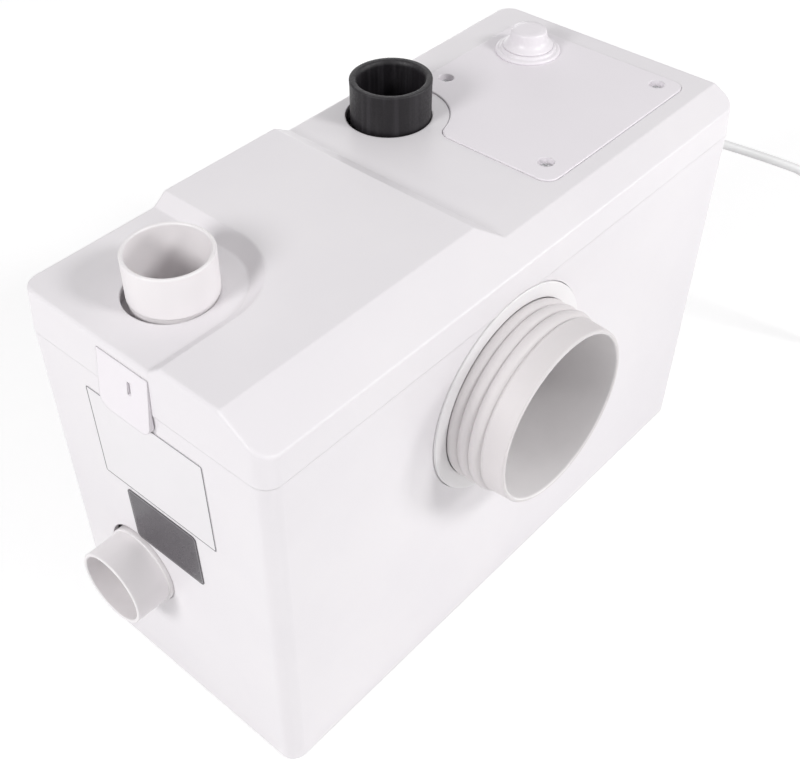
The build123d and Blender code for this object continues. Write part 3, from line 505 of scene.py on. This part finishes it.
relief = {
    "start": (0.2110, -0.050, 0.205),
    "bore": 0.0034,
    "inner": [(0.0034, -0.009), (0.0108, -0.009), (0.0108, -0.0042), (0.0079, -0.0042), (0.0079, 0.0005)],
    "nut": [(0.0112, 0.0005), (0.0112, 0.0048), (0.0092, 0.0072)],
    "nutApothem": 0.0100,
    "flatsFrom": 0.0006,
    "flatsTo": 0.0050,
    "flatsOutside": 0.0095,
    "sleeveStart": 0.0082,
    "sleeveEnd": 0.0352,
    "sleeveRadius": 0.0082,
    "tipRadius": 0.0043,
    "taper": 0.8,
    "ribs": 7,
    "grooveDepth": 0.00055,
    "grooveFade": 0.3,
    "rounding": 0.0005,
}


def makeRelief():
    # the sleeve narrows to its tip with the distance to a power, less a cosine groove after each rib
    r = relief
    steps = np.linspace(0, 1, r["ribs"] * 8 + 1)
    radius = r["sleeveRadius"] + (r["tipRadius"] - r["sleeveRadius"]) * steps ** r["taper"]
    grooves = r["grooveDepth"] * (0.5 - 0.5 * np.cos(steps * r["ribs"] * 2 * np.pi))
    height = r["sleeveStart"] + (r["sleeveEnd"] - r["sleeveStart"]) * steps
    sleeve = np.stack([radius - grooves * (1 - r["grooveFade"] * steps), height], 1)
    body = softened(r["inner"] + r["nut"], r["rounding"], 3, closed=False)
    profile = np.concatenate([body, sleeve, [(r["bore"], r["sleeveEnd"])]])

    def nutFlats(radius, height, angle):
        # six flats: the nut's radius falls to its apothem between the corners
        sector = (angle + np.pi / 6) % (np.pi / 3) - np.pi / 6
        flat = r["nutApothem"] / np.cos(sector)
        nut = (height > r["flatsFrom"]) & (height < r["flatsTo"]) & (radius > r["flatsOutside"])
        return np.where(nut, np.minimum(radius, flat), radius), height

    piece = turned("leadRelief", profile, r["start"], (1, 0, 0), count=72, wave=nutFlats, sharp=30.0)
    dress(piece, "white_lead", "cable_gland")


makeRelief()


# Mains plug: a round moulded body with grip ridges, on a ringed neck

plug = {
    "entry": (0.2568, -0.2765, 0.00625),
    "tilt": 16.5,
    "neckRadius": 0.0046,
    "neckGrowth": 0.0012,
    "neckLength": 0.015,
    "neckRings": 5,
    "ringDepth": 0.0004,
    "body": [
        (0.0060, 0.0155), (0.0086, 0.0175), (0.0103, 0.0300), (0.0150, 0.0380), (0.0184, 0.0420),
        (0.0184, 0.0534), (0.0170, 0.0540), (0.0160, 0.0532),
    ],
    "ends": [(0.0001, 0.0), (0.0001, 0.0532)],
    "rounding": 0.0012,
    "ridges": 24,
    "ridgeDepth": 0.0004,
    "ridgeHeight": 0.034,
    "ridgeSpread": 0.0045,
}


def makePlug():
    # the neck widens evenly, less a cosine groove after each ring
    p = plug
    tilt = math.radians(p["tilt"])
    axis = (-math.cos(tilt), 0.0, math.sin(tilt))
    steps = np.linspace(0, 1, p["neckRings"] * 8 + 1)
    grooves = p["ringDepth"] * (0.5 - 0.5 * np.cos(steps * p["neckRings"] * 2 * np.pi))
    neck = np.stack([p["neckRadius"] + p["neckGrowth"] * steps - grooves, p["neckLength"] * steps], 1)
    body = softened(p["body"], p["rounding"], 4, closed=False)
    profile = np.concatenate([p["ends"][:1], neck, body, p["ends"][1:]])

    def grips(radius, height, angle):
        # fine ridges round the shoulder, fading out along the axis as a bell curve
        ridge = np.exp(-((height - p["ridgeHeight"]) / p["ridgeSpread"]) ** 2)
        return radius - p["ridgeDepth"] * ridge * (0.5 + 0.5 * np.cos(p["ridges"] * angle)), height

    piece = turned("plugBody", profile, p["entry"], axis, count=120, wave=grips)
    return dress(piece, "white_lead", "mains_plug")


plugBody = makePlug()
print("relief and plug ready")


# The large collar: a lip at the mouth, three soft ribs, and a bead behind the ring

collar = {
    "centre": (-0.0195, 0.0, 0.1855),
    "axis": (0, -1, 0),
    "face": 0.09234,
    "mouth": 0.132,
    "bore": 0.0530,
    "boreMargin": 0.020,
    "outer": 0.0558,
    "lipLength": 0.014,
    "lipRadius": 0.0564,
    "footRadius": 0.0567,
    "footGap": 0.0016,
    "lipRounding": 0.0013,
    "valley": 0.0555,
    "crest": 0.0584,
    "ribs": 3,
    "ribPitch": 0.0079,
    "ribsEnd": 0.11584,
    "ribPower": 0.5,
    "beadRadius": 0.0612,
    "beadDepth": 0.013,
    "beadWidth": 0.0035,
    "backDepth": 0.030,
    "backGap": 0.0005,
    "backRounding": 0.0006,
    "oval": 0.00035,
    "ovalTurn": 0.6,
    "ripple": 0.00012,
    "insideReach": 0.0006,
}


def makeCollar():
    c = collar
    bore, valley, mouth, face = (c[key] for key in ("bore", "valley", "mouth", "face"))
    lip = softened([
        (bore, mouth - c["boreMargin"]), (bore, mouth), (c["outer"], mouth),
        (c["lipRadius"], mouth - c["lipLength"]), (c["footRadius"], c["ribsEnd"] + c["footGap"]),
    ], c["lipRounding"], 5, closed=False)
    # each rib is a half wave between two valleys, flattened a little at its crest
    turns = np.linspace(0, c["ribs"], c["ribs"] * 20 + 1)
    swell = np.abs(np.sin(turns * np.pi)) ** c["ribPower"]
    ribs = np.stack([valley + (c["crest"] - valley) * swell, c["ribsEnd"] - turns * c["ribPitch"]], 1)
    beadFront = face - c["beadDepth"]
    beadBack = beadFront - c["beadWidth"]
    back = softened([
        (valley, ribs[-1, 1] - c["backGap"]), (valley, beadFront), (c["beadRadius"], beadFront),
        (c["beadRadius"], beadBack), (valley, beadBack), (valley, face - c["backDepth"]),
        (bore, face - c["backDepth"]), (bore, face - c["boreMargin"]),
    ], c["backRounding"], 3, closed=False)
    profile = np.concatenate([lip, ribs, back])

    def hand(radius, height, angle):
        # a soft part: its free end is very slightly out of round
        free = np.clip((height - face) / (mouth - face), 0, 1) ** 2
        oval = c["oval"] * np.cos(2 * angle + c["ovalTurn"]) + c["ripple"] * np.cos(5 * angle)
        return radius + free * oval, height

    piece = turned("ribbedCollar", profile, c["centre"], c["axis"], count=192, wave=hand)
    dress(piece, "white_collar", "inlet_collar")
    # the faces near the bore wear the inside's finish: painted light, a lighter copy of the collar's colour
    piece.data.materials.append(finishes["collar_inside"])
    middles = np.empty(len(piece.data.polygons) * 3)
    piece.data.polygons.foreach_get("center", middles)
    away = middles.reshape(-1, 3) - np.array(c["centre"])
    inner = np.hypot(away[:, 0], away[:, 2]) < bore + c["insideReach"]
    piece.data.polygons.foreach_set("material_index", inner.astype(int))


# The ring round the collar: its heights are measured from the face of the tank's front

ring = {
    "inner": 0.0582,
    "outer": 0.0678,
    "flange": 0.0702,
    "back": -0.0125,
    "flangeBack": -0.0076,
    "flangeFront": -0.0046,
    "front": 0.0016,
    "rounding": 0.0006,
}


def makeRing():
    corners = [
        (ring["inner"], ring["back"]), (ring["outer"], ring["back"]), (ring["outer"], ring["flangeBack"]),
        (ring["flange"], ring["flangeBack"]), (ring["flange"], ring["flangeFront"]),
        (ring["outer"], ring["flangeFront"]), (ring["outer"], ring["front"]), (ring["inner"], ring["front"]),
    ]
    profile = softened(np.array(corners) + (0.0, collar["face"]), ring["rounding"], 4)
    piece = turned("collarRing", profile, collar["centre"], collar["axis"], count=160)
    dress(piece, "white_ring", "collar_ring")


makeCollar()
makeRing()
print("collar ready")


# Outlet sleeve: thick rubber with a rolled rim and two mould lines

sleeve = {
    "foot": (0.045, 0.056, 0.0),
    "low": 0.2446,
    "stop": 0.2624,
    "top": 0.3055,
    "rimDepth": 0.006,
    "radius": 0.0255,
    "waist": 0.0253,
    "footRadius": 0.0252,
    "bore": 0.0205,
    "stopRadius": 0.0207,
    "socket": 0.0216,
    "mouth": 0.0217,
    "mouthDepth": 0.0024,
    "rounding": 0.0011,
    "oval": 0.00022,
    "ovalTurn": 1.1,
    "ripple": 0.0001,
    "seams": (-2.35, 0.79),
    "seamHeight": 0.00018,
    "seamSpread": 0.012,
    "seamOutside": 0.0245,
}


def makeSleeve():
    s = sleeve
    profile = softened([
        (s["socket"], s["low"]), (s["footRadius"], s["low"]), (s["waist"], s["top"] - s["rimDepth"]),
        (s["radius"], s["top"]), (s["mouth"], s["top"]), (s["bore"], s["top"] - s["mouthDepth"]),
        (s["stopRadius"], s["stop"]), (s["socket"], s["stop"]),
    ], s["rounding"], 6)

    def hand(radius, height, angle):
        # the rim is a little out of round, and a fine raised line runs up each side
        free = np.clip((height - s["stop"]) / (s["top"] - s["stop"]), 0, 1) ** 2
        oval = s["oval"] * np.cos(2 * angle + s["ovalTurn"]) + s["ripple"] * np.cos(3 * angle)
        radius = radius + free * oval
        outside = radius > s["seamOutside"]
        for seam in s["seams"]:
            gap = (angle - seam + np.pi) % (2 * np.pi) - np.pi
            radius = radius + s["seamHeight"] * outside * np.exp(-(gap / s["seamSpread"]) ** 2)
        return radius, height

    piece = turned("outletSleeve", profile, s["foot"], (0, 0, 1), count=240, wave=hand)
    dress(piece, "black_rubber", "outlet_sleeve")


makeSleeve()
print("sleeve ready")


# Air vent: a flared cap on a stepped flange, each an outline of (radius, height) above the seat

vent = {
    "seat": (0.165, 0.040, 0.2809),
    "base": [
        (0.0090, -0.0120), (0.0130, -0.0120), (0.0130, 0.0000), (0.0214, 0.0000), (0.0214, 0.0012),
        (0.0205, 0.0021), (0.0184, 0.0022), (0.0181, 0.0036), (0.0172, 0.0039), (0.0114, 0.0038),
        (0.0114, 0.0070), (0.0090, 0.0070),
    ],
    "cap": [
        (0.0116, 0.0039), (0.0166, 0.0039), (0.0164, 0.0050), (0.0138, 0.0068), (0.0126, 0.0088),
        (0.0116, 0.0146), (0.0108, 0.0154),
    ],
    "crown": [(0.0070, 0.01545), (0.0035, 0.01550), (0.0001, 0.01550)],
    "hollow": [(0.0001, 0.0138), (0.0098, 0.0138), (0.0106, 0.0086), (0.0116, 0.0072)],
    "baseRounding": 0.0004,
    "capRounding": 0.0012,
    "hollowRounding": 0.0005,
}


def makeVent():
    base = softened(vent["base"], vent["baseRounding"], 3)
    cap = softened(vent["cap"], vent["capRounding"], 5, closed=False)
    hollow = softened(vent["hollow"], vent["hollowRounding"], 3, closed=False)
    whole = np.concatenate([cap, vent["crown"], hollow])
    for name, profile, node in (("ventBase", base, "vent_base"), ("ventCap", whole, "vent_cap")):
        piece = turned(name, profile, vent["seat"], (0, 0, 1), count=128, sharp=50.0)
        dress(piece, "white_cover", node)


makeVent()


# Floor pads: rubber buttons with two round grooves in their undersides

pads = {
    "places": [(-0.182, -0.068), (-0.182, 0.068), (0.182, -0.068), (0.182, 0.068)],
    "radius": 0.0108,
    "depth": 0.0015,
    "edge": 0.0003,
    "grooves": (0.0075, 0.0040),
    "grooveHalf": 0.0007,
    "grooveDepth": 0.0005,
    "middle": 0.0001,
}


def makePads():
    radius, top, edge, half = (pads[key] for key in ("radius", "depth", "edge", "grooveHalf"))
    profile = [(pads["middle"], top), (radius, top), (radius, edge), (radius - edge, 0.0)]
    for groove in pads["grooves"]:
        profile += [(groove + half, 0.0), (groove, pads["grooveDepth"]), (groove - half, 0.0)]
    profile.append((pads["middle"], 0.0))
    buttons = [turned("floorPads", profile, (x, y, 0), (0, 0, 1), count=48) for x, y in pads["places"]]
    whole = bmesh.new()
    for button in buttons:
        whole.from_mesh(button.data)
        bpy.data.objects.remove(button)
    mesh = bpy.data.meshes.new("floorPads")
    whole.to_mesh(mesh)
    whole.free()
    piece = finishedMesh("floorPads", mesh, 30.0)
    dress(piece, "black_rubber", "floor_pads")


makePads()
print("vent and pads ready")


# Floor, backdrop light and lamps

stage = {
    "half": 3.0,
    "floorHeight": -0.0004,
    "floorColour": (0.80, 0.80, 0.80),
    "floorRoughness": 0.7,
    "floorGlow": 0.37,
    "worldStrength": 0.43,
    "worldColour": (1.0, 0.995, 1.0),
    "aim": (0.0, 0.0, 0.15),
    "lamps": [
        # name, place, size, watts
        ("keyLamp", (-1.89, 0.10, 1.27), 0.7, 22.0),
        ("frontLamp", (0.45, -1.65, 1.52), 0.5, 16.6),
        ("sideLamp", (1.35, -1.69, 0.57), 0.5, 10.0),
        ("backLamp", (1.50, 1.60, 0.50), 1.0, 5.0),
    ],
}


def seenDirectly(tree):
    # 1 where the camera, a reflection or glass looks straight at the surface
    path = addNode(tree, "ShaderNodeLightPath")
    seen = mathNode(tree, "MAXIMUM", path.outputs["Is Camera Ray"], path.outputs["Is Glossy Ray"])
    return mathNode(tree, "MAXIMUM", seen, path.outputs["Is Transmission Ray"])


def makeFloor():
    half = stage["half"]
    corners = [[(x, y, stage["floorHeight"]) for x in (-half, half)] for y in (-half, half)]
    floor = gridMesh("studioFloor", np.array(corners))
    material = bpy.data.materials.new("studioFloor")
    material.use_nodes = True
    tree = material.node_tree
    shader = tree.nodes["Principled BSDF"]
    shader.inputs["Base Color"].default_value = (*stage["floorColour"], 1.0)
    shader.inputs["Roughness"].default_value = stage["floorRoughness"]
    shader.inputs["Emission Color"].default_value = (1.0, 1.0, 1.0, 1.0)
    glow = mathNode(tree, "MULTIPLY", seenDirectly(tree), stage["floorGlow"])
    tree.links.new(glow, shader.inputs["Emission Strength"])
    floor.data.materials.append(material)


def makeWorld():
    world = bpy.data.worlds.new("studioWorld")
    world.use_nodes = True
    bpy.context.scene.world = world
    tree = world.node_tree
    background = tree.nodes["Background"]
    background.inputs["Color"].default_value = (*stage["worldColour"], 1.0)
    strength = mapRange(tree, seenDirectly(tree), (0.0, 1.0), (stage["worldStrength"], 1.0))
    tree.links.new(strength, background.inputs["Strength"])


def makeLamps():
    for name, place, size, watts in stage["lamps"]:
        data = bpy.data.lights.new(name, "AREA")
        data.shape = "DISK"
        data.size = size
        data.energy = watts
        lamp = bpy.data.objects.new(name, data)
        lamp.location = place
        lamp.rotation_euler = (Vector(stage["aim"]) - Vector(place)).to_track_quat("-Z", "Y").to_euler()
        bpy.context.scene.collection.objects.link(lamp)


makeFloor()
makeWorld()
makeLamps()
bpy.context.scene.view_settings.view_transform = "Standard"
print("stage ready")

bpy.context.view_layer.update()
